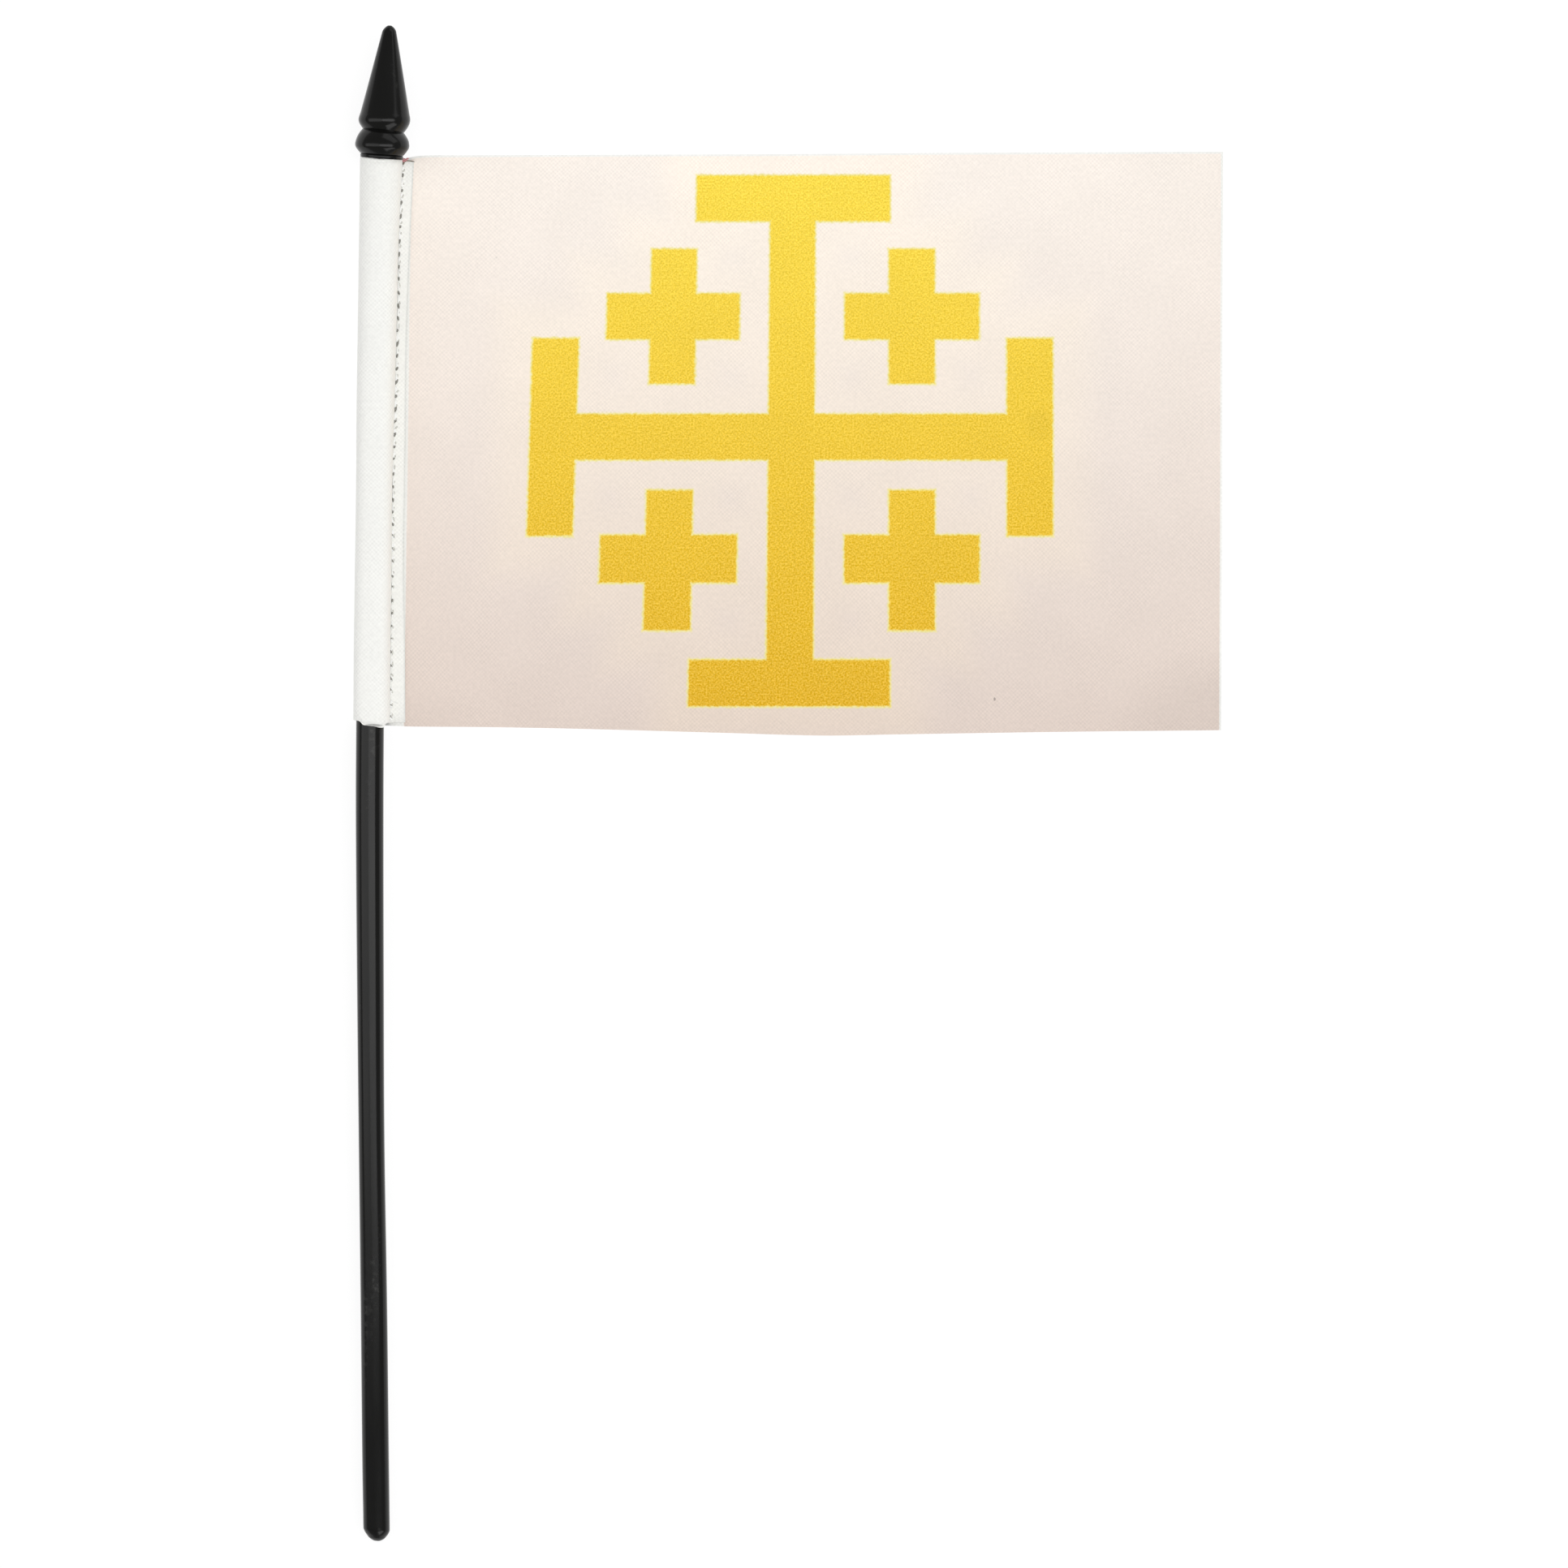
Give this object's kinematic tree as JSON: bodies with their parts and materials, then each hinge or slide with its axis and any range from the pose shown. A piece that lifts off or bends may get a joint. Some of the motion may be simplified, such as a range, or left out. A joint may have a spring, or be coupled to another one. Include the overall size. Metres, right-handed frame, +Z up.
{
  "type": "table flag with pole",
  "caption": "Small table flag of printed cloth, sewn into a sleeve over a black plastic pole with a spear head, lying flat.",
  "frame": {"origin": "on the surface that the flag lies on, in the middle of the whole length and width", "axes": "+Y up the pole towards the spear head, +X from the pole to the fly edge, +Z up off the surface"},
  "size_m": [0.1542, 0.2668, 0.0094],
  "materials": {
    "black_plastic": "moulded polypropylene, satin black, with a soft long highlight and a few light scuffs",
    "printed_cloth": "fine woven polyester, pale rose-white with a gold printed potent cross and four small crosses, bare white at the sleeve"
  },
  "bodies": {
    "root": {"pole": "black_plastic", "flag_cloth": "printed_cloth"}
  },
  "joints": []
}
